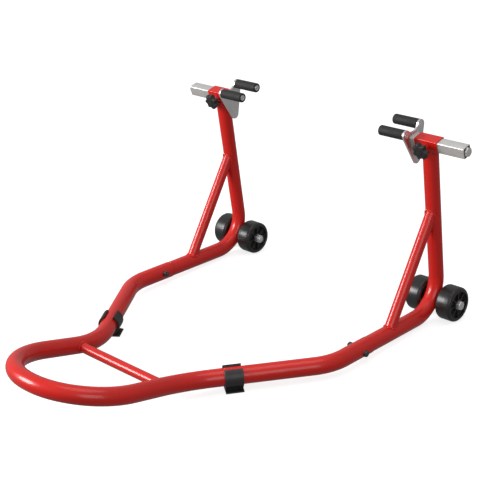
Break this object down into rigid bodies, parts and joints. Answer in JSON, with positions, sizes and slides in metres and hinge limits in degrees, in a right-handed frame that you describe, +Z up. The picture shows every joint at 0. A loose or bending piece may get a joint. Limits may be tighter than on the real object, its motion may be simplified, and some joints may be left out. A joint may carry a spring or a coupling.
{
  "type": "motorcycle paddock stand",
  "caption": "Rear paddock stand: a bent tube handle loop plugged onto two wheeled uprights, each carrying a sliding square bar with a two-peg cradle that lifts a motorcycle by its swingarm.",
  "frame": {"origin": "centre of the bounding box at floor level", "axes": "+X across the stand along the wheel axles, +Y from the handle end towards the wheels and uprights, +Z up from the floor"},
  "size_m": [0.6962, 0.7984, 0.3848],
  "materials": {
    "red_powder_coat": "glossy red powder coat with faint orange peel",
    "zinc_steel": "satin zinc plate, lightly brushed",
    "black_plastic": "moulded black plastic, satin",
    "black_rubber": "black rubber sleeve, fine grain",
    "black_steel": "black oxide steel fasteners"
  },
  "bodies": {
    "frame": {"main_loop_tube": "red_powder_coat", "cross_tube": "red_powder_coat", "leg_tube_right": "red_powder_coat", "brace_tube_right": "red_powder_coat", "bar_sleeve_right": "red_powder_coat", "clamp_nut_right": "red_powder_coat", "joint_bolt_right": "black_steel", "joint_nut_right": "black_steel", "axle_bush_right": "red_powder_coat", "axle_bolt_right": "zinc_steel", "axle_nut_right": "zinc_steel", "washer_outer_right": "zinc_steel", "washer_inner_right": "zinc_steel", "foot_clip_right": "black_plastic", "leg_tube_left": "red_powder_coat", "brace_tube_left": "red_powder_coat", "bar_sleeve_left": "red_powder_coat", "clamp_nut_left": "red_powder_coat", "joint_bolt_left": "black_steel", "joint_nut_left": "black_steel", "axle_bush_left": "red_powder_coat", "axle_bolt_left": "zinc_steel", "axle_nut_left": "zinc_steel", "washer_outer_left": "zinc_steel", "washer_inner_left": "zinc_steel", "foot_clip_left": "black_plastic"},
    "cradle_right": {"square_bar_right": "zinc_steel", "bar_end_plug_right": "black_plastic", "bar_bolt_right": "zinc_steel", "bar_nut_right": "zinc_steel", "cradle_plate_right": "zinc_steel", "peg_core_front_right": "zinc_steel", "peg_rubber_front_right": "black_rubber", "peg_core_back_right": "zinc_steel", "peg_rubber_back_right": "black_rubber"},
    "cradle_left": {"square_bar_left": "zinc_steel", "bar_end_plug_left": "black_plastic", "bar_bolt_left": "zinc_steel", "bar_nut_left": "zinc_steel", "cradle_plate_left": "zinc_steel", "peg_core_front_left": "zinc_steel", "peg_rubber_front_left": "black_rubber", "peg_core_back_left": "zinc_steel", "peg_rubber_back_left": "black_rubber"},
    "clamp_screw_right": {"clamp_screw_right": "zinc_steel"},
    "clamp_knob_right": {"clamp_knob_right": "black_plastic"},
    "clamp_screw_left": {"clamp_screw_left": "zinc_steel"},
    "clamp_knob_left": {"clamp_knob_left": "black_plastic"},
    "wheel_outer_right": {"wheel_outer_right": "black_plastic"},
    "wheel_inner_right": {"wheel_inner_right": "black_plastic"},
    "wheel_outer_left": {"wheel_outer_left": "black_plastic"},
    "wheel_inner_left": {"wheel_inner_left": "black_plastic"}
  },
  "joints": [
    {"name": "cradle_slide_right", "type": "slide", "parent": "frame", "child": "cradle_right", "axis": [-1, 0, 0], "range_m": [-0.005, 0.05]},
    {"name": "cradle_slide_left", "type": "slide", "parent": "frame", "child": "cradle_left", "axis": [1, 0, 0], "range_m": [-0.005, 0.05]},
    {"name": "screw_travel_right", "type": "slide", "parent": "frame", "child": "clamp_screw_right", "axis": [0, -0.9677, -0.2521], "range_m": [0, 0.0019]},
    {"name": "knob_turn_right", "type": "hinge", "parent": "clamp_screw_right", "child": "clamp_knob_right", "pos_m": [0.2635, 0.31345, 0.3438], "axis": [0, -0.9677, -0.2521], "range_deg": [0, 540]},
    {"name": "screw_travel_left", "type": "slide", "parent": "frame", "child": "clamp_screw_left", "axis": [0, -0.9677, -0.2521], "range_m": [0, 0.0019]},
    {"name": "knob_turn_left", "type": "hinge", "parent": "clamp_screw_left", "child": "clamp_knob_left", "pos_m": [-0.2635, 0.31345, 0.3438], "axis": [0, -0.9677, -0.2521], "range_deg": [0, 540]},
    {"name": "wheel_spin_outer_right", "type": "hinge", "parent": "frame", "child": "wheel_outer_right", "pos_m": [0.2944, 0.3659, 0.0334], "axis": [1, 0, 0], "continuous": true},
    {"name": "wheel_spin_inner_right", "type": "hinge", "parent": "frame", "child": "wheel_inner_right", "pos_m": [0.2252, 0.3659, 0.0334], "axis": [1, 0, 0], "continuous": true},
    {"name": "wheel_spin_outer_left", "type": "hinge", "parent": "frame", "child": "wheel_outer_left", "pos_m": [-0.2944, 0.3659, 0.0334], "axis": [1, 0, 0], "continuous": true},
    {"name": "wheel_spin_inner_left", "type": "hinge", "parent": "frame", "child": "wheel_inner_left", "pos_m": [-0.2252, 0.3659, 0.0334], "axis": [1, 0, 0], "continuous": true}
  ],
  "couplings": [
    {"joint": "screw_travel_right", "follows": "knob_turn_right", "m_per_rad": 0.0001989},
    {"joint": "screw_travel_left", "follows": "knob_turn_left", "m_per_rad": 0.0001989}
  ]
}
